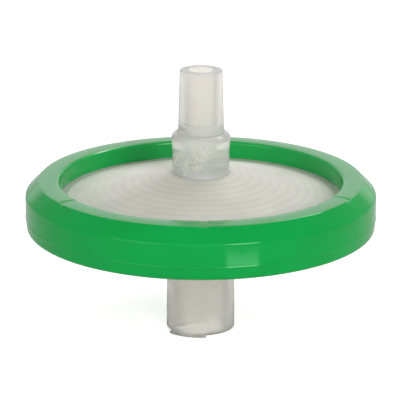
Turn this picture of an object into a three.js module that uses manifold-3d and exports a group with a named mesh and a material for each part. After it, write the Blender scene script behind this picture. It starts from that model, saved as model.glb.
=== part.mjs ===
// A 33 mm disc syringe filter: two welded polypropylene housing halves clamp a membrane,
// and a moulded ring grips their rims. Millimetres. Z = 0 is the mouth of the inlet socket,
// and +Z follows the flow along the axis to the outlet tip.

import * as THREE from 'three';
import { mergeVertices } from 'three/addons/utils/BufferGeometryUtils.js';
import Module from 'manifold-3d';

const wasm = await Module();
wasm.setup();

const FACETS = 56;
const ARC_STEPS = 3;

// Luer fittings: both cones change diameter by 6 % of their length.
const LUER_SLOPE = 0.06 / 2;
const TIP_Z = 25;
const TIP_RADIUS = 1.985;
const TIP_BORE = 1.13;
const CONE_BASE_Z = 19.1;
const BORE_TAPER = 0.08;
const BORE_STEP_Z = 16.75;
const FLOW_BORE = 0.78;
const SOCKET_RADIUS = 2.145;
const SOCKET_DEPTH = 7.6;

// The collar that carries the outlet cone, and the tube round the inlet socket.
const COLLAR_RADIUS = 2.67;
const COLLAR_HEAD = 2.82;
const COLLAR_FOOT_Z = 15.2;
const DRAIN_BORE = 0.5;
const FUNNEL_TOP_Z = 14.9;
const FUNNEL_RADIUS = 1.2;
const TUBE_RADIUS = 3.24;
const TUBE_ROOT_RADIUS = 3.12;

// The stack of rims inside the ring, counted from the plane where the halves meet.
const SEAM_Z = 12.1;
const RIM_RADIUS = 15.2;
const RIM_THICKNESS = 0.8;
const PLATE_RADIUS = 12.1;
const PLATE_SLOPE = (COLLAR_FOOT_Z - SEAM_Z - RIM_THICKNESS) / (PLATE_RADIUS - COLLAR_RADIUS);

// The membrane, and the chamber on each side of it.
const MEMBRANE_RADIUS = 12.95;
const MEMBRANE_THICKNESS = 0.15;
const POCKET_RADIUS = 13;
const CHAMBER_RADIUS = 12;
const CHAMBER_EDGE = 0.2;
const CHAMBER_SLOPE = 0.18;

// Ribs that hold the membrane: rings on the outlet side, spokes on the inlet side.
const RIB_RINGS = 10;
const RIB_FIRST = 2.95;
const RIB_PITCH = 0.88;
const RIB_WIDTH = 0.34;
const RIB_DRAFT = 0.06;
const CHANNELS = 6;
const CHANNEL_WIDTH = 0.6;
const CHANNEL_GROOVE = 0.12;
const SPOKES = 8;
const SPOKE_WIDTH = 0.5;
const SPOKE_INNER = 2.6;
const SPOKE_OUTER = 11.7;
const ROOT = 0.2;

// The two lock lugs at the mouth, parts of a right-hand double-start thread.
const LUG_RADIUS = 3.9;
const LUG_ROOT = 2.75;
const LUG_START = -49;
const LUG_END = 8;
const LUG_HEIGHT = 1.65;
const LUG_LEAD = 5;
const LUG_TIP_HEIGHT = 0.3;
const LUG_RAMP = 0.045;
const LUG_FLANK = 0.2;
const LUG_STEPS = 8;

// The moulded ring.
const RING_RADIUS = 16.5;
const RING_TOP_Z = 14.6;
const RING_BOTTOM_Z = 9.95;
const BEVEL_WIDTH = 1.3;
const BEVEL_DROP = 1.3;
const PARTING_Z = 11.15;
const PARTING_STEP = 0.06;
const WINDOW_RADIUS = 13.28;
const WALL_DRAFT = 0.04;

// A closed outline from corners [r, z, fillet]; a fillet radius turns its corner into an arc.
function outline(corners) {
  const at = (i) => new THREE.Vector2(...corners.at(i % corners.length).slice(0, 2));
  return corners.flatMap(([, , fillet = 0], i) => {
    const corner = at(i);
    if (fillet === 0) return [corner];
    const back = at(i - 1).sub(corner).normalize();
    const ahead = at(i + 1).sub(corner).normalize();
    const half = Math.acos(back.dot(ahead)) / 2;
    const tangent = fillet / Math.tan(half);
    const centre = back.clone().add(ahead).setLength(fillet / Math.sin(half)).add(corner);
    const start = back.multiplyScalar(tangent).add(corner).sub(centre);
    const end = ahead.multiplyScalar(tangent).add(corner).sub(centre);
    const sweep = Math.atan2(start.cross(end), start.dot(end));
    return Array.from({ length: ARC_STEPS + 1 }, (_, step) =>
      start.clone().rotateAround(new THREE.Vector2(), (sweep * step) / ARC_STEPS).add(centre));
  });
}

// Spins a counter-clockwise outline round the Z axis.
function revolve(corners) {
  const points = outline(corners);
  points.push(points[0].clone());
  return new THREE.LatheGeometry(points, FACETS).rotateX(Math.PI / 2);
}

// Stitches closed sections of equal length into one body with flat ends.
function loft(sections) {
  const count = sections[0].length;
  const index = [];
  for (let s = 0; s + 1 < sections.length; s += 1) {
    for (let i = 0; i < count; i += 1) {
      const a = s * count + i;
      const b = s * count + ((i + 1) % count);
      index.push(a, a + count, b, b, a + count, b + count);
    }
  }
  const last = (sections.length - 1) * count;
  for (let i = 1; i + 1 < count; i += 1) {
    index.push(0, i, i + 1);
    index.push(last, last + i + 1, last + i);
  }
  const geometry = new THREE.BufferGeometry().setFromPoints(sections.flat());
  geometry.setIndex(index);
  return geometry;
}

function toSolid(geometry) {
  const bare = geometry.clone();
  bare.deleteAttribute('normal');
  bare.deleteAttribute('uv');
  const merged = mergeVertices(bare);
  return new wasm.Manifold(new wasm.Mesh({
    numProp: 3,
    vertProperties: new Float32Array(merged.attributes.position.array),
    triVerts: new Uint32Array(merged.index.array),
  }));
}

function toMesh(name, solid, material) {
  const { vertProperties, triVerts } = solid.getMesh();
  const geometry = new THREE.BufferGeometry();
  geometry.setAttribute('position', new THREE.BufferAttribute(vertProperties, 3));
  geometry.setIndex(new THREE.BufferAttribute(triVerts, 1));
  geometry.computeVertexNormals();
  const mesh = new THREE.Mesh(geometry, material);
  mesh.name = name;
  return mesh;
}

function turned(geometry, degrees) {
  return geometry.clone().rotateZ(THREE.MathUtils.degToRad(degrees));
}

const radiusOnCone = (height) => TIP_RADIUS + LUER_SLOPE * (TIP_Z - height);
const chamberHeight = (r) => CHAMBER_EDGE + CHAMBER_SLOPE * (CHAMBER_RADIUS - r);
const plateHeight = (r) => RIM_THICKNESS + PLATE_SLOPE * (PLATE_RADIUS - r);
const membraneTop = SEAM_Z + MEMBRANE_THICKNESS;

// Concentric ribs that hang from the plate down to the membrane, from the axis outwards.
function supportRings() {
  return Array.from({ length: RIB_RINGS }, (_, i) => {
    const inner = RIB_FIRST + i * RIB_PITCH - RIB_WIDTH / 2;
    const outer = inner + RIB_WIDTH;
    return [
      [inner - RIB_DRAFT, membraneTop + chamberHeight(inner - RIB_DRAFT)],
      [inner, membraneTop],
      [outer, membraneTop],
      [outer + RIB_DRAFT, membraneTop + chamberHeight(outer + RIB_DRAFT)],
    ];
  }).flat();
}

// Outlet half: ribbed conical plate, rim, collar and male luer cone, bored right through.
function outletShell() {
  return revolve([
    [FUNNEL_RADIUS, membraneTop + chamberHeight(FUNNEL_RADIUS)],
    ...supportRings(),
    [CHAMBER_RADIUS, membraneTop + chamberHeight(CHAMBER_RADIUS)],
    [CHAMBER_RADIUS, membraneTop],
    [POCKET_RADIUS, membraneTop],
    [POCKET_RADIUS, SEAM_Z],
    [RIM_RADIUS, SEAM_Z],
    [RIM_RADIUS, SEAM_Z + RIM_THICKNESS],
    [PLATE_RADIUS, SEAM_Z + RIM_THICKNESS],
    [COLLAR_RADIUS, COLLAR_FOOT_Z],
    [COLLAR_RADIUS, COLLAR_FOOT_Z + 1.9],
    [COLLAR_HEAD, CONE_BASE_Z, 0.6],
    [radiusOnCone(CONE_BASE_Z), CONE_BASE_Z],
    [radiusOnCone(TIP_Z - 0.1), TIP_Z - 0.1],
    [TIP_RADIUS - 0.1, TIP_Z],
    [TIP_BORE, TIP_Z],
    [TIP_BORE - BORE_TAPER, BORE_STEP_Z],
    [DRAIN_BORE, BORE_STEP_Z - 0.25],
    [DRAIN_BORE, FUNNEL_TOP_Z],
  ]);
}

// A flat blade that stands on a radius; its lower and upper edges are heights at each end.
function radialBlade(width, [inner, outer], [lowInner, lowOuter], [highInner, highOuter]) {
  const side = new THREE.Shape([
    new THREE.Vector2(inner, lowInner),
    new THREE.Vector2(outer, lowOuter),
    new THREE.Vector2(outer, highOuter),
    new THREE.Vector2(inner, highInner),
  ]);
  const blade = new THREE.ExtrudeGeometry(side, { depth: width, bevelEnabled: false });
  return blade.rotateX(Math.PI / 2).translate(0, width / 2, 0);
}

function patternRound(geometry, count) {
  const copies = Array.from({ length: count }, (_, i) => toSolid(turned(geometry, (360 * i) / count)));
  return copies.reduce((all, copy) => all.add(copy));
}

// Radial channels through the ribs lead the filtrate to the funnel.
function drainChannels() {
  const span = [FUNNEL_RADIUS - ROOT, CHAMBER_RADIUS - 2 * ROOT];
  const roof = span.map((r) => membraneTop + chamberHeight(r) + CHANNEL_GROOVE);
  const below = span.map(() => SEAM_Z - 1);
  return patternRound(radialBlade(CHANNEL_WIDTH, span, below, roof), CHANNELS);
}

function outletHousing() {
  return toSolid(outletShell()).subtract(drainChannels());
}

// Inlet half: rim, conical floor, and the tube with the female luer socket.
function inletShell() {
  const socketEnd = SOCKET_RADIUS - LUER_SLOPE * SOCKET_DEPTH;
  return revolve([
    [SOCKET_RADIUS + 0.1, 0],
    [TUBE_RADIUS, 0, 0.12],
    [TUBE_ROOT_RADIUS, SEAM_Z - plateHeight(TUBE_ROOT_RADIUS), 0.4],
    [PLATE_RADIUS, SEAM_Z - RIM_THICKNESS],
    [RIM_RADIUS, SEAM_Z - RIM_THICKNESS],
    [RIM_RADIUS, SEAM_Z],
    [CHAMBER_RADIUS, SEAM_Z],
    [CHAMBER_RADIUS, SEAM_Z - chamberHeight(CHAMBER_RADIUS)],
    [FLOW_BORE, SEAM_Z - chamberHeight(FLOW_BORE)],
    [FLOW_BORE, SOCKET_DEPTH + 0.3],
    [socketEnd, SOCKET_DEPTH],
    [SOCKET_RADIUS, 0.2],
  ]);
}

// Spokes on the floor keep the membrane off it and spread the flow.
function floorSpokes() {
  const span = [SPOKE_INNER, SPOKE_OUTER];
  const foot = span.map((r) => SEAM_Z - chamberHeight(r) - ROOT);
  const crest = span.map(() => SEAM_Z - 0.1);
  return patternRound(radialBlade(SPOKE_WIDTH, span, foot, crest), SPOKES);
}

// One lug: flush with the mouth, its upper flank climbing along the thread.
function lockLug() {
  const sections = Array.from({ length: LUG_STEPS + 1 }, (_, i) => {
    const degrees = THREE.MathUtils.lerp(LUG_START, LUG_END, i / LUG_STEPS);
    const thread = LUG_HEIGHT - (LUG_LEAD * (LUG_END - degrees)) / 360;
    const ramp = LUG_TIP_HEIGHT + LUG_RAMP * (degrees - LUG_START);
    const top = Math.min(thread, ramp);
    const turn = THREE.MathUtils.degToRad(degrees);
    const point = (r, z) => new THREE.Vector3(r * Math.sin(turn), -r * Math.cos(turn), z);
    return [
      point(LUG_ROOT, 0),
      point(LUG_RADIUS - 0.1, 0),
      point(LUG_RADIUS, 0.1),
      point(LUG_RADIUS, top - 0.1),
      point(LUG_ROOT, top + LUG_FLANK),
    ];
  });
  return loft(sections);
}

function inletHousing() {
  const lug = lockLug();
  return toSolid(inletShell())
    .add(floorSpokes())
    .add(toSolid(lug))
    .add(toSolid(turned(lug, 180)));
}

function membraneDisc() {
  return toSolid(new THREE.CylinderGeometry(MEMBRANE_RADIUS, MEMBRANE_RADIUS, MEMBRANE_THICKNESS, FACETS)
    .rotateX(Math.PI / 2)
    .translate(0, 0, SEAM_Z + MEMBRANE_THICKNESS / 2));
}

// The ring: a channel section that grips both rims, bevelled above and stepped at its parting line.
function mouldedRing() {
  const lower = RING_RADIUS - PARTING_STEP;
  return toSolid(revolve([
    [WINDOW_RADIUS, RING_BOTTOM_Z, 0.15],
    [lower, RING_BOTTOM_Z, 0.35],
    [lower, PARTING_Z],
    [RING_RADIUS - 0.02, PARTING_Z],
    [RING_RADIUS, RING_TOP_Z - BEVEL_DROP, 0.3],
    [RING_RADIUS - BEVEL_WIDTH, RING_TOP_Z, 0.2],
    [WINDOW_RADIUS, RING_TOP_Z, 0.3],
    [WINDOW_RADIUS - WALL_DRAFT, SEAM_Z + RIM_THICKNESS],
    [RIM_RADIUS, SEAM_Z + RIM_THICKNESS],
    [RIM_RADIUS, SEAM_Z - RIM_THICKNESS],
    [WINDOW_RADIUS - WALL_DRAFT, SEAM_Z - RIM_THICKNESS],
  ]));
}

const naturalPlastic = { color: 0xdcd9d0, roughness: 0.28, metalness: 0 };
const filter = new THREE.Group();
filter.add(
  toMesh('inlet_housing', inletHousing(), new THREE.MeshStandardMaterial(naturalPlastic)),
  toMesh('membrane', membraneDisc(), new THREE.MeshStandardMaterial({
    color: 0xf4f3ee,
    roughness: 0.85,
    metalness: 0,
  })),
  toMesh('outlet_housing', outletHousing(), new THREE.MeshStandardMaterial(naturalPlastic)),
  toMesh('moulded_ring', mouldedRing(), new THREE.MeshStandardMaterial({
    color: 0x12a54c,
    roughness: 0.3,
    metalness: 0,
  })),
);

export default filter;
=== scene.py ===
import math

import bmesh
import bpy
from mathutils import Matrix, Vector, noise


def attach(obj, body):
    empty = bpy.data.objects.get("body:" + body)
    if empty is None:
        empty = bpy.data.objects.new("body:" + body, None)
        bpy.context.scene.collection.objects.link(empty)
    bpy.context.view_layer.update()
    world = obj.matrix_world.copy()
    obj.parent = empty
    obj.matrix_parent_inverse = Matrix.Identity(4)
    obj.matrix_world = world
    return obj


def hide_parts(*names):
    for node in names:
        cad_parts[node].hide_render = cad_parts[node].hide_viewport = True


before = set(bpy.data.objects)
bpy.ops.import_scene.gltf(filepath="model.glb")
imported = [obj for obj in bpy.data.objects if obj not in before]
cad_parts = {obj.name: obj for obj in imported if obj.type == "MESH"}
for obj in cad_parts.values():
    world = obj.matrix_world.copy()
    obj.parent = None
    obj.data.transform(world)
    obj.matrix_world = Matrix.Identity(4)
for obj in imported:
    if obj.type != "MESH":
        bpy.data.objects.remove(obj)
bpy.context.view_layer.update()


# ---------------------------------------------------------------------------------------
# Inlet half of the housing. One injection moulding in natural polypropylene: a tube with a
# female luer socket and two lock lugs at its mouth, opening into a shallow conical floor.
# Its flat rim is welded to the outlet half's rim, inside the grip ring.

MM = 0.001

SEAM_Z = 12.1
WELD_GAP = 0.01
RIM_RADIUS = 15.2
RIM_THICKNESS = 0.8
PLATE_RADIUS = 12.1
PLATE_SLOPE = 0.2439
CHAMBER_RADIUS = 12.0
CHAMBER_EDGE = 0.2
CHAMBER_SLOPE = 0.18
FLOW_BORE = 0.78

SOCKET_RADIUS = 2.145
SOCKET_DEPTH = 7.6
LUER_SLOPE = 0.03
TUBE_RADIUS = 3.24
TUBE_ROOT_RADIUS = 3.12

LUG_RADIUS = 3.9
LUG_SPAN = (-49.0, 8.0)
LUG_HEIGHT = 1.65
LUG_PITCH = 5.0
LUG_TOE = 0.3
LUG_RAMP = 0.045
LUG_COUNT = 2

SPOKE_COUNT = 8
SPOKE_HALF_WIDTH = 0.25
SPOKE_REACH = (2.6, 11.7)
SPOKE_CLEARANCE = 0.1
SPOKE_EDGE = 0.05

LUG_RISE = 2.5
LUG_FALL = 1.0

FLAT_HOLD = 0.03
SHARP_ANGLE = 32


def fillet_outline(corners, arc_steps=6):
    """Draws a closed outline of (radius, height, fillet) corners, each fillet as an arc.

    A straight stretch beside an arc gets a point close to each end, so that it shades flat."""
    arcs = []
    for i, (r, z, fillet) in enumerate(corners):
        corner = Vector((r, z))
        if fillet == 0:
            arcs.append([corner])
            continue
        back = (Vector(corners[i - 1][:2]) - corner).normalized()
        ahead = (Vector(corners[(i + 1) % len(corners)][:2]) - corner).normalized()
        half = math.acos(max(-1.0, min(1.0, back.dot(ahead)))) / 2
        reach = fillet / math.tan(half)
        centre = corner + (back + ahead).normalized() * (fillet / math.sin(half))
        start = corner + back * reach - centre
        end = corner + ahead * reach - centre
        sweep = math.atan2(start.x * end.y - start.y * end.x, start.dot(end))
        arc = []
        for step in range(arc_steps + 1):
            turn = sweep * step / arc_steps
            arc.append(centre + Vector((
                start.x * math.cos(turn) - start.y * math.sin(turn),
                start.x * math.sin(turn) + start.y * math.cos(turn),
            )))
        arcs.append(arc)
    points = []
    for arc, following in zip(arcs, arcs[1:] + arcs[:1]):
        points += arc
        if len(arc) > 1 or len(following) > 1:
            stretch = following[0] - arc[-1]
            hold = min(FLAT_HOLD, stretch.length / 3) * stretch.normalized()
            points += [arc[-1] + hold, following[0] - hold]
    return points


def moulded_piece(name, outline_at, degrees, material, shape=None):
    """Sweeps an outline, which may change with the angle, once round the flow axis.

    Angle 0 is the front, and angles grow towards +X. shape(r, z, degrees) may move a point."""
    columns = []
    for turn in degrees:
        outline = outline_at(turn)
        if shape is not None:
            outline = [Vector(shape(p.x, p.y, turn)) for p in outline]
        columns.append((turn, outline))
    count = len(columns[0][1])
    verts = []
    for turn, outline in columns:
        s, c = math.sin(math.radians(turn)), math.cos(math.radians(turn))
        verts.extend((p.x * s * MM, -p.x * c * MM, p.y * MM) for p in outline)
    faces = []
    for i in range(len(columns)):
        here, there = i * count, ((i + 1) % len(columns)) * count
        for k in range(count):
            n = (k + 1) % count
            faces.append((here + k, there + k, there + n, here + n))
    mesh = bpy.data.meshes.new(name)
    mesh.from_pydata(verts, [], faces)
    mesh.validate()
    mesh.shade_smooth()
    mesh.set_sharp_from_angle(angle=math.radians(SHARP_ANGLE))
    mesh.materials.append(material)
    piece = bpy.data.objects.new(name, mesh)
    bpy.context.scene.collection.objects.link(piece)
    return piece


def even_turn(steps):
    return [-180 + 360 * i / steps for i in range(steps)]


def ease(value, start, end):
    """0 below start, 1 above end, and a smooth rise between."""
    t = max(0.0, min(1.0, (value - start) / (end - start)))
    return t * t * (3 - 2 * t)


def chamber_height(r):
    return CHAMBER_EDGE + CHAMBER_SLOPE * (CHAMBER_RADIUS - r)


def plate_height(r):
    return RIM_THICKNESS + PLATE_SLOPE * (PLATE_RADIUS - r)


def natural_plastic(name, clearness, haze, dark=(0.95, 0.905, 0.845, 1), pale=(0.975, 0.94, 0.885, 1)):
    """Unfilled polypropylene: milky, with a moulded gloss that wavers from flow to flow."""
    material = bpy.data.materials.new(name)
    material.use_nodes = True
    nodes, links = material.node_tree.nodes, material.node_tree.links
    shader = nodes["Principled BSDF"]
    shader.inputs["Transmission Weight"].default_value = clearness
    shader.inputs["IOR"].default_value = 1.49
    shader.inputs["Subsurface Weight"].default_value = 1.0
    shader.inputs["Subsurface Radius"].default_value = (1.0, 0.97, 0.9)
    shader.inputs["Subsurface Scale"].default_value = 0.0015
    place = nodes.new("ShaderNodeTexCoord")

    cloud = nodes.new("ShaderNodeTexNoise")
    cloud.inputs["Scale"].default_value = 350
    cloud.inputs["Detail"].default_value = 3
    links.new(place.outputs["Object"], cloud.inputs["Vector"])
    tint = nodes.new("ShaderNodeValToRGB")
    tint.color_ramp.elements[0].position = 0.3
    tint.color_ramp.elements[0].color = dark
    tint.color_ramp.elements[1].position = 0.7
    tint.color_ramp.elements[1].color = pale
    links.new(cloud.outputs["Fac"], tint.inputs["Fac"])
    links.new(tint.outputs["Color"], shader.inputs["Base Color"])

    gloss = nodes.new("ShaderNodeMapRange")
    gloss.inputs["From Min"].default_value = 0.3
    gloss.inputs["From Max"].default_value = 0.7
    gloss.inputs["To Min"].default_value = haze * 0.75
    gloss.inputs["To Max"].default_value = haze * 1.25
    links.new(cloud.outputs["Fac"], gloss.inputs["Value"])
    links.new(gloss.outputs["Result"], shader.inputs["Roughness"])

    flow = nodes.new("ShaderNodeTexNoise")
    flow.inputs["Scale"].default_value = 900
    flow.inputs["Detail"].default_value = 2
    links.new(place.outputs["Object"], flow.inputs["Vector"])
    relief = nodes.new("ShaderNodeBump")
    relief.inputs["Strength"].default_value = 0.12
    relief.inputs["Distance"].default_value = 0.00002
    links.new(flow.outputs["Fac"], relief.inputs["Height"])
    links.new(relief.outputs["Normal"], shader.inputs["Normal"])
    return material


def lug_presence(degrees):
    """How far a lock lug stands out at this angle, from 0 to 1, and how high it reaches."""
    start, end = LUG_SPAN
    pitch = 360 / LUG_COUNT
    local = (degrees - start + 20) % pitch + start - 20
    out = ease(local, start - LUG_RISE, start) * (1 - ease(local, end, end + LUG_FALL))
    thread = LUG_HEIGHT - LUG_PITCH * (end - local) / 360
    ramp = LUG_TOE + LUG_RAMP * (local - start)
    return out, max(LUG_TOE, min(thread, ramp, LUG_HEIGHT))


def inlet_outline(degrees):
    out, top = lug_presence(degrees)
    lug_r = TUBE_RADIUS + (LUG_RADIUS - TUBE_RADIUS) * out
    socket_end = SOCKET_RADIUS - LUER_SLOPE * SOCKET_DEPTH
    root_z = SEAM_Z - plate_height(TUBE_ROOT_RADIUS)
    corners = [
        (SOCKET_RADIUS + 0.12, 0, 0.05),
        (lug_r, 0, 0.05),
        (lug_r, top - 0.1, 0.2),
        (TUBE_RADIUS, top + 0.15, 0.1),
        (TUBE_RADIUS - 0.02, 3.0, 0),
        (TUBE_ROOT_RADIUS, root_z, 0.5),
        (PLATE_RADIUS, SEAM_Z - RIM_THICKNESS, 0.3),
        (RIM_RADIUS, SEAM_Z - RIM_THICKNESS, 0),
        (RIM_RADIUS, SEAM_Z - WELD_GAP, 0),
        (CHAMBER_RADIUS, SEAM_Z - WELD_GAP, 0.05),
        (CHAMBER_RADIUS, SEAM_Z - chamber_height(CHAMBER_RADIUS), 0.05),
    ]
    floor_steps = 18
    inner = FLOW_BORE + 0.3
    for i in range(1, floor_steps):
        r = CHAMBER_RADIUS + (inner - CHAMBER_RADIUS) * i / floor_steps
        corners.append((r, SEAM_Z - chamber_height(r), 0))
    corners += [
        (FLOW_BORE, SEAM_Z - chamber_height(FLOW_BORE), 0.15),
        (FLOW_BORE, SOCKET_DEPTH + 0.3, 0.1),
        (socket_end, SOCKET_DEPTH, 0.1),
        (SOCKET_RADIUS, 0.25, 0.1),
    ]
    return fillet_outline(corners)


def floor_spokes(r, z, degrees):
    """Raises the chamber floor into radial spokes that hold the membrane off it."""
    on_floor = abs(z - (SEAM_Z - chamber_height(r))) < 0.02
    if not on_floor or not SPOKE_REACH[0] < r < SPOKE_REACH[1]:
        return r, z
    pitch = 360 / SPOKE_COUNT
    off = (degrees + pitch / 2) % pitch - pitch / 2
    side = abs(r * math.sin(math.radians(off)))
    rise = 1 - ease(side, SPOKE_HALF_WIDTH - SPOKE_EDGE, SPOKE_HALF_WIDTH + SPOKE_EDGE)
    crest = SEAM_Z - SPOKE_CLEARANCE
    return r, z + (crest - z) * rise


housing_plastic = natural_plastic("natural_polypropylene", clearness=0.6, haze=0.03)

inlet_turns = set(even_turn(480))
for lug in range(LUG_COUNT):
    shift = lug * 360 / LUG_COUNT
    for turn in (LUG_SPAN[0] - LUG_RISE, LUG_SPAN[0] - 1.2, LUG_SPAN[0], LUG_SPAN[1],
                 LUG_SPAN[1] + 0.25, LUG_SPAN[1] + 0.5, LUG_SPAN[1] + LUG_FALL):
        inlet_turns.add((turn + shift + 180) % 360 - 180)

inlet_half = moulded_piece("inlet_half", inlet_outline, sorted(inlet_turns),
                           housing_plastic, floor_spokes)
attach(inlet_half, "root")
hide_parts("inlet_housing")


# ---------------------------------------------------------------------------------------
# Membrane. A porous white film disc punched from sheet, laid on the inlet half's spokes
# and clamped at its edge when the two halves are welded together.

MEMBRANE_RADIUS = 12.94
MEMBRANE_THICKNESS = 0.13
MEMBRANE_LIFT = 0.005
PILLOW = 0.012
PILLOW_END = 11


def membrane_film():
    """Matte porous film with the faint cloudiness of its cast fibres."""
    material = bpy.data.materials.new("porous_film")
    material.use_nodes = True
    nodes, links = material.node_tree.nodes, material.node_tree.links
    shader = nodes["Principled BSDF"]
    place = nodes.new("ShaderNodeTexCoord")
    fibres = nodes.new("ShaderNodeTexNoise")
    fibres.inputs["Scale"].default_value = 2500
    fibres.inputs["Detail"].default_value = 5
    links.new(place.outputs["Object"], fibres.inputs["Vector"])
    tint = nodes.new("ShaderNodeValToRGB")
    tint.color_ramp.elements[0].color = (0.80, 0.80, 0.78, 1)
    tint.color_ramp.elements[1].color = (0.90, 0.90, 0.88, 1)
    links.new(fibres.outputs["Fac"], tint.inputs["Fac"])
    links.new(tint.outputs["Color"], shader.inputs["Base Color"])
    dull = nodes.new("ShaderNodeMapRange")
    dull.inputs["To Min"].default_value = 0.8
    dull.inputs["To Max"].default_value = 0.95
    links.new(fibres.outputs["Fac"], dull.inputs["Value"])
    links.new(dull.outputs["Result"], shader.inputs["Roughness"])
    relief = nodes.new("ShaderNodeBump")
    relief.inputs["Strength"].default_value = 0.4
    relief.inputs["Distance"].default_value = 0.00002
    links.new(fibres.outputs["Fac"], relief.inputs["Height"])
    links.new(relief.outputs["Normal"], shader.inputs["Normal"])
    return material


RIB_COUNT = 10
RIB_FIRST = 2.95
RIB_PITCH = 0.88


def membrane_outline(degrees):
    """A thin disc that swells a little between the ribs that press on it."""
    bottom = SEAM_Z + MEMBRANE_LIFT
    top = bottom + MEMBRANE_THICKNESS
    rings = 60
    under = [Vector((0.02 + (MEMBRANE_RADIUS - 0.05) * i / rings, bottom)) for i in range(rings + 1)]
    over = []
    for p in reversed(under):
        phase = (p.x - RIB_FIRST) / RIB_PITCH
        pressed = RIB_FIRST < p.x < PILLOW_END
        swell = PILLOW * 0.5 * (1 - math.cos(2 * math.pi * phase)) if pressed else 0
        over.append(Vector((p.x, top - PILLOW + swell)))
    edge = [Vector((MEMBRANE_RADIUS, bottom + 0.03)), Vector((MEMBRANE_RADIUS, top - 0.03))]
    return under + edge + over


membrane = moulded_piece("membrane_disc", membrane_outline, even_turn(180), membrane_film())
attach(membrane, "root")
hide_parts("membrane")


# ---------------------------------------------------------------------------------------
# Outlet half of the housing. The second moulding in natural polypropylene: a flat rim, a
# conical plate with ribs under it that back the membrane, and a collar that carries the
# male luer slip cone. It is bored right through, and welded to the inlet half's rim.

TIP_Z = 25.0
TIP_RADIUS = 1.985
TIP_BORE = 1.13
BORE_TAPER = 0.08
CONE_BASE_Z = 19.1
CONE_LINE_Z = 20.15
BORE_STEP_Z = 16.75
COLLAR_RADIUS = 2.67
COLLAR_HEAD = 2.82
COLLAR_FOOT_Z = 15.2
COLLAR_FLARE_Z = COLLAR_FOOT_Z + 1.9
COLLAR_LINES = (16.52, 16.75)
COLLAR_LINE_REACH = 0.05
CONE_LINE_REACH = 0.06
LINE_RELIEF = 0.025
DRAIN_BORE = 0.5
FUNNEL_TOP_Z = 14.9
FUNNEL_RADIUS = 1.2
SEAT_RADIUS = 13.0

RIB_HALF_WIDTH = 0.17
RIB_DRAFT = 0.06
RIB_SINK = 0.004
RIB_SINK_END = 11.2
CHANNEL_COUNT = 6
CHANNEL_HALF_WIDTH = 0.3
CHANNEL_EDGE = 0.05
CHANNEL_GROOVE = 0.12

BORE_MARKS = (16.8, 18.7)
PIN_MARK_PITCH = 0.14
PIN_MARK_DEPTH = 0.008
PIN_MARK_FADE = (17.5, 17.7)
SCAR_DEPTH = 0.07
SCAR_GRAIN = 3.2
SCAR_FADE = (17.0, 18.2)

VOID_COUNT = 46
VOID_MIDDLE = (-28.0, 16.1)
VOID_SPREAD = (52.0, 0.55)
VOID_RADII = (1.3, 2.3)
VOID_SIZES = (0.05, 0.16)
VOID_STRETCH = (1.6, 0.6, 0.9, 1)
GOLDEN_TURN = 2.39996
GOLDEN_SHARES = (0.618, 0.382)

PLATE_CLEARNESS = 0.05
PLATE_HAZE = 0.55
RIM_CLEARNESS = 0.5
RIM_HAZE = 0.1
RIM_FADE = (12.1, 12.9)
COLLAR_CLEARNESS = (0.32, 0.52)
COLLAR_FADE = 1.3
COLLAR_SKIN = 0.6
PUCKERS = (
    ((-2.15, -1.58, 16.4), 0.9),
    ((-1.35, -2.30, 16.3), 0.95),
    ((-0.55, -2.61, 16.5), 0.8),
    ((0.0, -2.67, 17.5), 0.95),
)
PUCKER_MILK = 0.26
PUCKER_DEPTH = 0.08
PUCKER_SCALE = 4200
PUCKER_CRISP = (0.33, 0.67)
PUCKER_WANDER = 1.3
PUCKER_WANDER_SCALE = 1000

SEAT_LIFT = 0.15
membrane_top = SEAM_Z + SEAT_LIFT


def cone_radius(z):
    return TIP_RADIUS + LUER_SLOPE * (TIP_Z - z)


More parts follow.
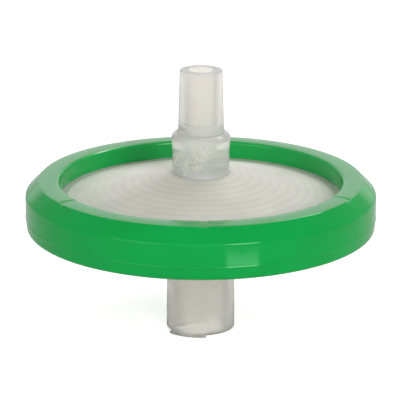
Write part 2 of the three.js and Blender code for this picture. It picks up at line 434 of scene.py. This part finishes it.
def outlet_outline(degrees):
    corners = [(FUNNEL_RADIUS, membrane_top + chamber_height(FUNNEL_RADIUS), 0.1)]
    for i in range(RIB_COUNT):
        inner = RIB_FIRST + i * RIB_PITCH - RIB_HALF_WIDTH
        outer = inner + 2 * RIB_HALF_WIDTH
        corners += [
            (inner - RIB_DRAFT, membrane_top + chamber_height(inner - RIB_DRAFT), 0),
            (inner, membrane_top, 0),
            (outer, membrane_top, 0),
            (outer + RIB_DRAFT, membrane_top + chamber_height(outer + RIB_DRAFT), 0),
        ]
    corners += [
        (CHAMBER_RADIUS, membrane_top + chamber_height(CHAMBER_RADIUS), 0),
        (CHAMBER_RADIUS, membrane_top, 0),
        (SEAT_RADIUS, membrane_top, 0),
        (SEAT_RADIUS, SEAM_Z + WELD_GAP, 0),
        (RIM_RADIUS, SEAM_Z + WELD_GAP, 0),
        (RIM_RADIUS, SEAM_Z + RIM_THICKNESS - WELD_GAP, 0),
        (PLATE_RADIUS, SEAM_Z + RIM_THICKNESS - WELD_GAP, 0.3),
    ]
    # The plate shrinks a little over each rib, which leaves shallow rings on its face.
    plate_steps = 60
    foot = COLLAR_RADIUS + 0.5
    for i in range(1, plate_steps):
        r = PLATE_RADIUS - 0.15 + (foot - PLATE_RADIUS + 0.15) * i / plate_steps
        phase = (r - RIB_FIRST) / RIB_PITCH
        over_ribs = RIB_FIRST < r < RIB_SINK_END
        sink = RIB_SINK * max(0.0, math.cos(2 * math.pi * phase)) ** 2 if over_ribs else 0
        corners.append((r, SEAM_Z + plate_height(r) - sink, 0))
    corners.append((COLLAR_RADIUS, COLLAR_FOOT_Z, 0.05))
    for z in COLLAR_LINES:
        corners += [
            (COLLAR_RADIUS, z - COLLAR_LINE_REACH, 0),
            (COLLAR_RADIUS + LINE_RELIEF, z, 0),
            (COLLAR_RADIUS, z + COLLAR_LINE_REACH, 0),
        ]
    corners += [
        (COLLAR_RADIUS, COLLAR_FLARE_Z, 0.6),
        (COLLAR_HEAD, CONE_BASE_Z, 0.6),
        (cone_radius(CONE_BASE_Z), CONE_BASE_Z, 0.06),
        (cone_radius(CONE_LINE_Z - CONE_LINE_REACH), CONE_LINE_Z - CONE_LINE_REACH, 0),
        (cone_radius(CONE_LINE_Z) - LINE_RELIEF, CONE_LINE_Z, 0),
        (cone_radius(CONE_LINE_Z + CONE_LINE_REACH), CONE_LINE_Z + CONE_LINE_REACH, 0),
        (cone_radius(TIP_Z), TIP_Z, 0.07),
        (TIP_BORE, TIP_Z, 0.06),
    ]
    mark_steps = 44
    for i in range(mark_steps):
        z = BORE_MARKS[1] + (BORE_MARKS[0] - BORE_MARKS[1]) * i / mark_steps
        corners.append((TIP_BORE - BORE_TAPER * (TIP_Z - z) / (TIP_Z - BORE_STEP_Z), z, 0))
    corners += [
        (TIP_BORE - BORE_TAPER, BORE_STEP_Z, 0.15),
        (DRAIN_BORE, BORE_STEP_Z - 0.25, 0.08),
        (DRAIN_BORE, FUNNEL_TOP_Z, 0.2),
    ]
    return fillet_outline(corners, arc_steps=5)


def drain_channels(r, z, degrees):
    """Cuts radial channels through the ribs, which lead the filtrate to the funnel."""
    roof = membrane_top + chamber_height(r) + CHANNEL_GROOVE
    if z > roof or not FUNNEL_RADIUS - 0.1 < r < CHAMBER_RADIUS - 0.4:
        return r, z
    pitch = 360 / CHANNEL_COUNT
    off = (degrees + pitch / 2) % pitch - pitch / 2
    side = abs(r * math.sin(math.radians(off)))
    cut = 1 - ease(side, CHANNEL_HALF_WIDTH - CHANNEL_EDGE, CHANNEL_HALF_WIDTH + CHANNEL_EDGE)
    return r, z + (roof - z) * cut


def bore_marks(r, z, degrees):
    """Fine turning marks left by the core pin, and the torn gate scar at the bore's foot."""
    if r > TIP_BORE or not BORE_STEP_Z - 0.4 < z < BORE_MARKS[1]:
        return r, z
    pin = ease(z, *PIN_MARK_FADE) * PIN_MARK_DEPTH * math.sin(2 * math.pi * z / PIN_MARK_PITCH)
    turn = math.radians(degrees)
    spot = Vector((r * math.sin(turn), -r * math.cos(turn), z)) * SCAR_GRAIN
    torn = noise.fractal(spot, 0.6, 2.0, 3) * SCAR_DEPTH * (1 - ease(z, *SCAR_FADE))
    return r + pin + torn, z


def outlet_details(r, z, degrees):
    return drain_channels(*bore_marks(r, z, degrees), degrees)


def plate_plastic():
    """The same polypropylene with a matt skin, milky where the white membrane backs it.

    It looks a little greyer over each rib, where the plastic is thicker, and it is clear
    and glossy on the flat rim, where the green of the ring shows through."""
    material = natural_plastic("natural_polypropylene_matt", PLATE_CLEARNESS, PLATE_HAZE,
                               dark=(0.645, 0.63, 0.555, 1), pale=(0.72, 0.705, 0.63, 1))
    nodes, links = material.node_tree.nodes, material.node_tree.links
    shader = nodes["Principled BSDF"]
    shader.inputs["Sheen Weight"].default_value = 0.65
    shader.inputs["Sheen Tint"].default_value = (1.0, 0.97, 0.93, 1)
    shader.inputs["Sheen Roughness"].default_value = 0.4
    tint = shader.inputs["Base Color"].links[0].from_node
    place = nodes["Texture Coordinate"]
    ribs = nodes.new("ShaderNodeTexWave")
    ribs.wave_type = "RINGS"
    ribs.rings_direction = "Z"
    ribs.inputs["Scale"].default_value = math.pi / 10 / (RIB_PITCH * MM)
    ribs.inputs["Phase Offset"].default_value = math.pi - 2 * math.pi * RIB_FIRST / RIB_PITCH
    ribs.inputs["Distortion"].default_value = 0.8
    ribs.inputs["Detail Scale"].default_value = 2.0
    links.new(place.outputs["Object"], ribs.inputs["Vector"])
    shade = nodes.new("ShaderNodeMapRange")
    shade.inputs["From Min"].default_value = 0.55
    shade.inputs["To Min"].default_value = 0.0
    shade.inputs["To Max"].default_value = 0.24
    links.new(ribs.outputs["Fac"], shade.inputs["Value"])
    greyed = nodes.new("ShaderNodeMix")
    greyed.data_type = "RGBA"
    greyed.inputs["B"].default_value = (0.45, 0.46, 0.42, 1)
    links.new(shade.outputs["Result"], greyed.inputs["Factor"])
    flat = nodes.new("ShaderNodeVectorMath")
    flat.operation = "MULTIPLY"
    flat.inputs[1].default_value = (1, 1, 0)
    links.new(place.outputs["Object"], flat.inputs[0])
    radius = nodes.new("ShaderNodeVectorMath")
    radius.operation = "LENGTH"
    links.new(flat.outputs["Vector"], radius.inputs[0])
    for socket, plate_value, rim_value in (
        ("Transmission Weight", PLATE_CLEARNESS, RIM_CLEARNESS),
        ("Roughness", PLATE_HAZE, RIM_HAZE),
    ):
        change = nodes.new("ShaderNodeMapRange")
        change.interpolation_type = "SMOOTHSTEP"
        change.inputs["From Min"].default_value = RIM_FADE[0] * MM
        change.inputs["From Max"].default_value = RIM_FADE[1] * MM
        change.inputs["To Min"].default_value = plate_value
        change.inputs["To Max"].default_value = rim_value
        links.new(radius.outputs["Value"], change.inputs["Value"])
        links.new(change.outputs["Result"], shader.inputs[socket])
    links.new(tint.outputs["Color"], greyed.inputs["A"])
    links.new(greyed.outputs["Result"], shader.inputs["Base Color"])
    return material


def pucker_height(nodes, links):
    """How high the skin is puckered, from 0 to 1: fine crumples in a few ragged patches."""
    place = nodes["Texture Coordinate"]
    crumple = nodes.new("ShaderNodeTexNoise")
    crumple.inputs["Scale"].default_value = PUCKER_SCALE
    crumple.inputs["Detail"].default_value = 3
    links.new(place.outputs["Object"], crumple.inputs["Vector"])
    wander = nodes.new("ShaderNodeTexNoise")
    wander.inputs["Scale"].default_value = PUCKER_WANDER_SCALE
    links.new(place.outputs["Object"], wander.inputs["Vector"])
    pulled = nodes.new("ShaderNodeVectorMath")
    pulled.operation = "MULTIPLY_ADD"
    pulled.inputs[1].default_value = (PUCKER_WANDER * MM,) * 3
    links.new(wander.outputs["Color"], pulled.inputs[0])
    links.new(place.outputs["Object"], pulled.inputs[2])
    masks = []
    for spot, reach in PUCKERS:
        apart = nodes.new("ShaderNodeVectorMath")
        apart.operation = "DISTANCE"
        apart.inputs[1].default_value = Vector([along + PUCKER_WANDER / 2 for along in spot]) * MM
        links.new(pulled.outputs["Vector"], apart.inputs[0])
        fade = nodes.new("ShaderNodeMapRange")
        fade.interpolation_type = "SMOOTHSTEP"
        fade.inputs["From Min"].default_value = reach * 0.5 * MM
        fade.inputs["From Max"].default_value = reach * MM
        fade.inputs["To Min"].default_value = 1.0
        fade.inputs["To Max"].default_value = 0.0
        links.new(apart.outputs["Value"], fade.inputs["Value"])
        masks.append(fade.outputs["Result"])
    where = masks[0]
    for mask in masks[1:]:
        both = nodes.new("ShaderNodeMath")
        both.operation = "MAXIMUM"
        links.new(where, both.inputs[0])
        links.new(mask, both.inputs[1])
        where = both.outputs[0]
    raised = nodes.new("ShaderNodeMath")
    raised.operation = "MULTIPLY"
    crisp = nodes.new("ShaderNodeMapRange")
    crisp.inputs["From Min"].default_value = PUCKER_CRISP[0]
    crisp.inputs["From Max"].default_value = PUCKER_CRISP[1]
    links.new(crumple.outputs["Fac"], crisp.inputs["Value"])
    links.new(crisp.outputs["Result"], raised.inputs[0])
    links.new(where, raised.inputs[1])
    return raised.outputs[0]


def collar_plastic():
    """The same polypropylene, which grows milkier towards the thick foot of the collar.

    Its skin is puckered where the thick wall shrank beside the gate, and the puckers are painted a
    pale cream, a painted glint."""
    material = natural_plastic("natural_polypropylene_thick", clearness=0.6, haze=0.03,
                               dark=(0.935, 0.925, 0.875, 1), pale=(0.965, 0.955, 0.91, 1))
    nodes, links = material.node_tree.nodes, material.node_tree.links
    shader = nodes["Principled BSDF"]
    raised = pucker_height(nodes, links)
    pucker = nodes.new("ShaderNodeBump")
    pucker.inputs["Strength"].default_value = 1.0
    pucker.inputs["Distance"].default_value = PUCKER_DEPTH * MM
    links.new(raised, pucker.inputs["Height"])
    links.new(nodes["Bump"].outputs["Normal"], pucker.inputs["Normal"])
    links.new(pucker.outputs["Normal"], shader.inputs["Normal"])
    # The puckered patches get a pale cream colour, a painted glint. They are also made milkier, which
    # is the skin's own look.
    glint_cream = nodes.new("ShaderNodeMix")
    glint_cream.data_type = "RGBA"
    glint_cream.inputs["B"].default_value = (0.99, 0.95, 0.80, 1)
    links.new(raised, glint_cream.inputs["Factor"])
    links.new(shader.inputs["Base Color"].links[0].from_socket, glint_cream.inputs["A"])
    links.new(glint_cream.outputs["Result"], shader.inputs["Base Color"])
    axes = nodes.new("ShaderNodeSeparateXYZ")
    links.new(nodes["Texture Coordinate"].outputs["Object"], axes.inputs["Vector"])
    depth = nodes.new("ShaderNodeMapRange")
    depth.inputs["From Min"].default_value = COLLAR_FOOT_Z * MM
    depth.inputs["From Max"].default_value = (COLLAR_FOOT_Z + COLLAR_FADE) * MM
    depth.inputs["To Min"].default_value = COLLAR_CLEARNESS[0]
    depth.inputs["To Max"].default_value = COLLAR_CLEARNESS[1]
    links.new(axes.outputs["Z"], depth.inputs["Value"])
    milky = nodes.new("ShaderNodeMath")
    milky.operation = "MULTIPLY_ADD"
    milky.inputs[1].default_value = -PUCKER_MILK
    links.new(raised, milky.inputs[0])
    links.new(depth.outputs["Result"], milky.inputs[2])
    links.new(milky.outputs[0], shader.inputs["Transmission Weight"])
    return material


def shrink_voids(piece):
    """Leaves a cluster of small voids in the thick foot of the collar, beside the gate."""
    cluster = bmesh.new()
    cluster.from_mesh(piece.data)
    for i in range(VOID_COUNT):
        out = math.sqrt((i + 0.5) / VOID_COUNT)
        spin = GOLDEN_TURN * i
        turn = math.radians(VOID_MIDDLE[0] + VOID_SPREAD[0] * math.cos(spin) * out)
        z = VOID_MIDDLE[1] + VOID_SPREAD[1] * math.sin(spin) * out
        r = VOID_RADII[0] + (VOID_RADII[1] - VOID_RADII[0]) * ((i * GOLDEN_SHARES[0]) % 1)
        size = VOID_SIZES[0] + (VOID_SIZES[1] - VOID_SIZES[0]) * ((i * GOLDEN_SHARES[1]) % 1) ** 2
        place = Matrix.Translation(Vector((r * math.sin(turn), -r * math.cos(turn), z)) * MM)
        lie = Matrix.Rotation(spin, 4, "Z") @ Matrix.Rotation(spin * 0.5, 4, "X")
        stretch = Matrix.Diagonal(VOID_STRETCH)
        void = bmesh.ops.create_icosphere(cluster, subdivisions=2, radius=size * MM,
                                          matrix=place @ lie @ stretch)
        faces = {face for vert in void["verts"] for face in vert.link_faces}
        bmesh.ops.reverse_faces(cluster, faces=list(faces))
        for face in faces:
            face.smooth = True
    cluster.to_mesh(piece.data)
    cluster.free()


outlet_half = moulded_piece("outlet_half", outlet_outline, even_turn(380),
                            housing_plastic, outlet_details)
shrink_voids(outlet_half)
outlet_half.data.materials.append(plate_plastic())
outlet_half.data.materials.append(collar_plastic())
for face in outlet_half.data.polygons:
    r = math.hypot(face.center.x, face.center.y) / MM
    z = face.center.z / MM
    if face.normal.z > 0.5 and r > COLLAR_RADIUS + 0.1 and z < COLLAR_FOOT_Z:
        face.material_index = 1
    if r > COLLAR_RADIUS - COLLAR_SKIN and COLLAR_FOOT_Z < z < CONE_LINE_Z + 0.01:
        face.material_index = 2
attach(outlet_half, "root")
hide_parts("outlet_housing")


# ---------------------------------------------------------------------------------------
# Grip ring. Green polypropylene moulded over both rims, which seals the seam and gives
# the fingers a wall to hold. A fine bead marks its parting line, its land is slightly
# crowned, and a weld mark sits on the land wherever two streams of plastic met.

RING_RADIUS = 16.5
RING_TOP_Z = 14.6
RING_BOTTOM_Z = 9.95
BEVEL_WIDTH = 1.3
BEVEL_DROP = 1.3
LAND_CROWN = 0.04
LAND_MARGINS = (0.32, 0.1)
LAND_SKIN = 0.4
PARTING_Z = 11.15
PARTING_STEP = 0.06
SKIRT_DRAFT = 0.06
BOTTOM_MIDDLE = 14.2
BEAD_HEIGHT = 0.09
BEAD_DEPTH = 0.035
WINDOW_RADIUS = 13.28
WINDOW_SKIN = 0.3
WALL_DRAFT = 0.04
WELD_MARKS = (-56.0, 1.0, 62.0)
WELD_HALF_WIDTH = 0.62
WELD_EDGE = 0.14
WELD_SINK = (0.03, 0.08)
WELD_SPILL = 0.3
WELD_LEVEL = (0.35, 0.05)
SINK_WAVE = 0.006
SINK_WAVE_COUNT = 3
SINK_WAVE_START = 40


def grip_plastic(name, shine, gleam, dark, pale):
    """Pigmented polypropylene with a clean moulded gloss and faint flow cloudiness."""
    material = bpy.data.materials.new(name)
    material.use_nodes = True
    nodes, links = material.node_tree.nodes, material.node_tree.links
    shader = nodes["Principled BSDF"]
    shader.inputs["Specular IOR Level"].default_value = shine
    shader.inputs["Specular Tint"].default_value = gleam
    place = nodes.new("ShaderNodeTexCoord")
    cloud = nodes.new("ShaderNodeTexNoise")
    cloud.inputs["Scale"].default_value = 260
    cloud.inputs["Detail"].default_value = 4
    links.new(place.outputs["Object"], cloud.inputs["Vector"])
    tint = nodes.new("ShaderNodeValToRGB")
    tint.color_ramp.elements[0].position = 0.3
    tint.color_ramp.elements[0].color = dark
    tint.color_ramp.elements[1].position = 0.7
    tint.color_ramp.elements[1].color = pale
    links.new(cloud.outputs["Fac"], tint.inputs["Fac"])
    links.new(tint.outputs["Color"], shader.inputs["Base Color"])
    gloss = nodes.new("ShaderNodeMapRange")
    gloss.inputs["From Min"].default_value = 0.3
    gloss.inputs["From Max"].default_value = 0.7
    gloss.inputs["To Min"].default_value = 0.08
    gloss.inputs["To Max"].default_value = 0.14
    links.new(cloud.outputs["Fac"], gloss.inputs["Value"])
    links.new(gloss.outputs["Result"], shader.inputs["Roughness"])
    grain = nodes.new("ShaderNodeTexNoise")
    grain.inputs["Scale"].default_value = 1400
    grain.inputs["Detail"].default_value = 3
    links.new(place.outputs["Object"], grain.inputs["Vector"])
    relief = nodes.new("ShaderNodeBump")
    relief.inputs["Strength"].default_value = 0.15
    relief.inputs["Distance"].default_value = 0.00002
    links.new(grain.outputs["Fac"], relief.inputs["Height"])
    links.new(relief.outputs["Normal"], shader.inputs["Normal"])
    return material


def ring_outline(degrees):
    lower = RING_RADIUS - PARTING_STEP
    rim_top = SEAM_Z + RIM_THICKNESS
    rim_bottom = SEAM_Z - RIM_THICKNESS
    land_outer = RING_RADIUS - BEVEL_WIDTH
    bevel_slope = (BEVEL_DROP - LAND_CROWN) / (BEVEL_WIDTH - BEAD_DEPTH)
    corners = [
        (WINDOW_RADIUS, RING_BOTTOM_Z, 0.15),
        (BOTTOM_MIDDLE, RING_BOTTOM_Z, 0),
        (lower - SKIRT_DRAFT, RING_BOTTOM_Z, 0.35),
        (lower, PARTING_Z - BEAD_HEIGHT, 0.02),
        (RING_RADIUS, PARTING_Z, 0.03),
        (RING_RADIUS - BEAD_DEPTH, PARTING_Z + BEAD_HEIGHT, 0.03),
        (RING_RADIUS - BEAD_DEPTH, RING_TOP_Z - BEVEL_DROP, 0.5),
        (land_outer + WELD_SPILL, RING_TOP_Z - LAND_CROWN - WELD_SPILL * bevel_slope, 0),
        (land_outer, RING_TOP_Z - LAND_CROWN, 0.2),
    ]
    land_steps = 10
    middle = (WINDOW_RADIUS + land_outer) / 2
    start = land_outer - LAND_MARGINS[1]
    end = WINDOW_RADIUS + LAND_MARGINS[0]
    for i in range(1, land_steps):
        r = start + (end - start) * i / land_steps
        across = (r - middle) / (land_outer - middle)
        corners.append((r, RING_TOP_Z - LAND_CROWN * across * across, 0))
    corners += [
        (WINDOW_RADIUS, RING_TOP_Z - LAND_CROWN, 0.3),
        (WINDOW_RADIUS - WALL_DRAFT, rim_top, 0),
        (RIM_RADIUS + WELD_GAP, rim_top, 0),
        (RIM_RADIUS + WELD_GAP, rim_bottom, 0),
        (WINDOW_RADIUS - WALL_DRAFT, rim_bottom, 0),
    ]
    return fillet_outline(corners)


def weld_marks(r, z, degrees):
    """Sinks a lens-shaped patch in the land at each weld mark, deeper towards the bevel."""
    if z < RING_TOP_Z - WELD_LEVEL[0]:
        return r, z
    land_outer = RING_RADIUS - BEVEL_WIDTH
    middle = (WINDOW_RADIUS + land_outer) / 2
    across = (r - middle) / (land_outer + WELD_SPILL - middle)
    wave = math.sin(math.radians(SINK_WAVE_COUNT * degrees + SINK_WAVE_START))
    drop = SINK_WAVE * (1 - wave)
    if abs(across) < 1:
        reach = WELD_HALF_WIDTH * math.sqrt(1 - across * across)
        depth = WELD_SINK[0] + (WELD_SINK[1] - WELD_SINK[0]) * (across + 1) / 2
        for mark in WELD_MARKS:
            side = abs(r * math.radians((degrees - mark + 180) % 360 - 180))
            drop += depth * (1 - ease(side, reach - WELD_EDGE, reach))
    level = ease(z, RING_TOP_Z - WELD_LEVEL[0], RING_TOP_Z - WELD_LEVEL[1])
    return r, z - drop * level


# The ring is one green pigment. The land's copy is painted darker, a painted shade, and the window
# wall's copy is painted lighter, a painted light in the recess. Their gloss differs as well.
wall_plastic = grip_plastic("green_polypropylene", shine=0.33, gleam=(0.57, 1.0, 0.78, 1),
                            dark=(0.000, 0.360, 0.058, 1), pale=(0.001, 0.395, 0.070, 1))
land_plastic = grip_plastic("green_polypropylene_land", shine=0.55, gleam=(1.0, 1.0, 1.0, 1),
                            dark=(0.000, 0.310, 0.050, 1), pale=(0.001, 0.340, 0.060, 1))
window_plastic = grip_plastic("green_polypropylene_window", shine=0.42, gleam=(1.0, 1.0, 1.0, 1),
                              dark=(0.000, 0.390, 0.065, 1), pale=(0.001, 0.425, 0.077, 1))
grip_ring = moulded_piece("grip_ring", ring_outline, even_turn(900), wall_plastic, weld_marks)
grip_ring.data.materials.append(land_plastic)
grip_ring.data.materials.append(window_plastic)
for face in grip_ring.data.polygons:
    r = math.hypot(face.center.x, face.center.y) / MM
    z = face.center.z / MM
    if face.normal.z > 0.9 and z > RING_TOP_Z - LAND_SKIN:
        face.material_index = 1
    elif r < WINDOW_RADIUS + WINDOW_SKIN and z > SEAM_Z + RIM_THICKNESS:
        face.material_index = 2
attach(grip_ring, "root")
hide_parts("moulded_ring")


# ---------------------------------------------------------------------------------------
# Table and backdrop. A sheet of white card that lies flat under the filter and curves up
# far behind it.

SHEET_HALF_WIDTH = 1.2
SHEET_FRONT = -0.9
SHEET_BEND = 0.55
SHEET_CURVE = 0.25
SHEET_HEIGHT = 0.75
SHEET_BEND_STEPS = 12
SHEET_DROP = 0.00001
CARD_GLOW = {"Is Camera Ray": 0.66, "Is Transmission Ray": 0.55, "Is Glossy Ray": 0.12}
GLOSS_REACH = (0.1, 0.5)


def white_card():
    """Plain card, which is seen whiter than its lamps make it, most of all directly.

    Gloss mirrors that white only from the far part of the sheet."""
    material = bpy.data.materials.new("white_card")
    material.use_nodes = True
    nodes, links = material.node_tree.nodes, material.node_tree.links
    nodes.clear()
    paper = nodes.new("ShaderNodeBsdfDiffuse")
    paper.inputs["Color"].default_value = (0.75, 0.75, 0.75, 1)
    white = nodes.new("ShaderNodeEmission")
    white.inputs["Color"].default_value = (1, 1, 1, 1)
    rays = nodes.new("ShaderNodeLightPath")
    place = nodes.new("ShaderNodeTexCoord")
    axes = nodes.new("ShaderNodeSeparateXYZ")
    links.new(place.outputs["Object"], axes.inputs["Vector"])
    far = nodes.new("ShaderNodeMapRange")
    far.inputs["From Min"].default_value = GLOSS_REACH[0]
    far.inputs["From Max"].default_value = GLOSS_REACH[1]
    links.new(axes.outputs["Y"], far.inputs["Value"])
    mirrored = nodes.new("ShaderNodeMath")
    mirrored.operation = "MULTIPLY"
    links.new(rays.outputs["Is Glossy Ray"], mirrored.inputs[0])
    links.new(far.outputs["Result"], mirrored.inputs[1])
    share = None
    for ray, strength in CARD_GLOW.items():
        part = nodes.new("ShaderNodeMath")
        part.operation = "MULTIPLY_ADD"
        part.inputs[1].default_value = strength
        part.inputs[2].default_value = 0.0
        seen = mirrored.outputs[0] if ray == "Is Glossy Ray" else rays.outputs[ray]
        links.new(seen, part.inputs[0])
        if share is not None:
            links.new(share.outputs[0], part.inputs[2])
        share = part
    links.new(share.outputs[0], white.inputs["Strength"])
    both = nodes.new("ShaderNodeAddShader")
    links.new(paper.outputs["BSDF"], both.inputs[0])
    links.new(white.outputs["Emission"], both.inputs[1])
    out = nodes.new("ShaderNodeOutputMaterial")
    links.new(both.outputs["Shader"], out.inputs["Surface"])
    return material


def card_sheet():
    rows = [(SHEET_FRONT, 0.0), (SHEET_BEND, 0.0)]
    for i in range(1, SHEET_BEND_STEPS + 1):
        turn = math.radians(90 * i / SHEET_BEND_STEPS)
        rows.append((SHEET_BEND + SHEET_CURVE * math.sin(turn), SHEET_CURVE * (1 - math.cos(turn))))
    rows.append((SHEET_BEND + SHEET_CURVE, SHEET_HEIGHT))
    verts = [(x, y, z - SHEET_DROP) for y, z in rows for x in (-SHEET_HALF_WIDTH, SHEET_HALF_WIDTH)]
    faces = [(2 * i, 2 * i + 1, 2 * i + 3, 2 * i + 2) for i in range(len(rows) - 1)]
    mesh = bpy.data.meshes.new("card_sheet")
    mesh.from_pydata(verts, [], faces)
    mesh.shade_smooth()
    mesh.materials.append(white_card())
    sheet = bpy.data.objects.new("card_sheet", mesh)
    bpy.context.scene.collection.objects.link(sheet)
    return sheet


card_sheet()


# ---------------------------------------------------------------------------------------
# Studio light. A key box in front on the right, a broad fill on the left and a soft one
# between them, a bright rim box and two dim ones behind, a small low strip that catches
# the ring's wall, and a dim room that is brighter at the back.

LAMP_AIM = Vector((0.0, 0.0, 13.0)) * MM
LOW_STRIP_PLACE = Vector((15.0, -38.5, 3.1)) * MM
LOW_STRIP_AIM = Vector((3.5, -16.0, 12.0)) * MM
ROOM_FRONT = 0.34
ROOM_BACK = 0.6
ROOM_THROUGH_PLASTIC = 0.75


def light_panel(name, place, aim, width, height, radiance):
    """A rectangular lamp at one place, which faces another."""
    lamp = bpy.data.lights.new(name, "AREA")
    lamp.shape = "RECTANGLE"
    lamp.size = width
    lamp.size_y = height
    lamp.energy = radiance * math.pi * width * height
    panel = bpy.data.objects.new(name, lamp)
    panel.location = place
    panel.rotation_euler = (place - aim).to_track_quat("Z", "Y").to_euler()
    panel.visible_camera = False
    bpy.context.scene.collection.objects.link(panel)


def soft_box(name, azimuth, elevation, distance, width, height, radiance):
    """A panel that faces the filter; azimuth 0 is in front and grows towards +X."""
    a, e = math.radians(azimuth), math.radians(elevation)
    away = Vector((math.sin(a) * math.cos(e), -math.cos(a) * math.cos(e), math.sin(e)))
    light_panel(name, LAMP_AIM + away * distance, LAMP_AIM, width, height, radiance)


soft_box("key_box", azimuth=27, elevation=22, distance=0.8, width=0.26, height=0.24, radiance=10.8)
soft_box("fill_box", azimuth=-42, elevation=18, distance=0.9, width=0.6, height=0.5, radiance=1.4)
soft_box("front_box", azimuth=0, elevation=25, distance=0.9, width=0.5, height=0.4, radiance=0.9)
soft_box("rim_box", azimuth=140, elevation=48, distance=0.8, width=0.6, height=0.12, radiance=7.0)
soft_box("back_box", azimuth=180, elevation=17, distance=0.5, width=0.7, height=0.24, radiance=0.4)
soft_box("high_box", azimuth=180, elevation=50, distance=0.8, width=0.6, height=0.4, radiance=0.4)
light_panel("low_box", LOW_STRIP_PLACE, LOW_STRIP_AIM, width=0.012, height=0.0015, radiance=4.0)


def studio_room():
    """A pale room, brighter at the back, which clear plastic shows as white card."""
    room = bpy.data.worlds.new("studio_room")
    room.use_nodes = True
    nodes, links = room.node_tree.nodes, room.node_tree.links
    place = nodes.new("ShaderNodeTexCoord")
    axes = nodes.new("ShaderNodeSeparateXYZ")
    links.new(place.outputs["Generated"], axes.inputs["Vector"])
    level = nodes.new("ShaderNodeMapRange")
    level.inputs["From Min"].default_value = -1
    level.inputs["To Min"].default_value = ROOM_FRONT
    level.inputs["To Max"].default_value = ROOM_BACK
    links.new(axes.outputs["Y"], level.inputs["Value"])
    rays = nodes.new("ShaderNodeLightPath")
    seen = nodes.new("ShaderNodeMix")
    seen.inputs["B"].default_value = ROOM_THROUGH_PLASTIC
    links.new(rays.outputs["Is Transmission Ray"], seen.inputs["Factor"])
    links.new(level.outputs["Result"], seen.inputs["A"])
    links.new(seen.outputs["Result"], nodes["Background"].inputs["Strength"])
    nodes["Background"].inputs["Color"].default_value = (1, 1, 1, 1)
    return room


bpy.context.scene.world = studio_room()


# ---------------------------------------------------------------------------------------
# Camera. A long lens a hand's length away, a little above the ring.

CAMERA_PLACE = Vector((0.0, -192.06, 70.4)) * MM
CAMERA_AIM = Vector((-0.08, 0.0, 12.4)) * MM
CAMERA_ROLL = 0.12

lens = bpy.data.cameras.new("camera")
lens.sensor_width = 36
lens.lens = 191.7
lens.clip_start = 0.01
lens.clip_end = 10
camera = bpy.data.objects.new("camera", lens)
camera.location = CAMERA_PLACE
look = (CAMERA_AIM - CAMERA_PLACE).to_track_quat("-Z", "Y").to_matrix().to_4x4()
camera.rotation_euler = look.to_euler()
camera.rotation_euler.rotate_axis("Z", math.radians(CAMERA_ROLL))
bpy.context.scene.collection.objects.link(camera)
bpy.context.scene.camera = camera
bpy.context.scene.view_settings.view_transform = "Standard"
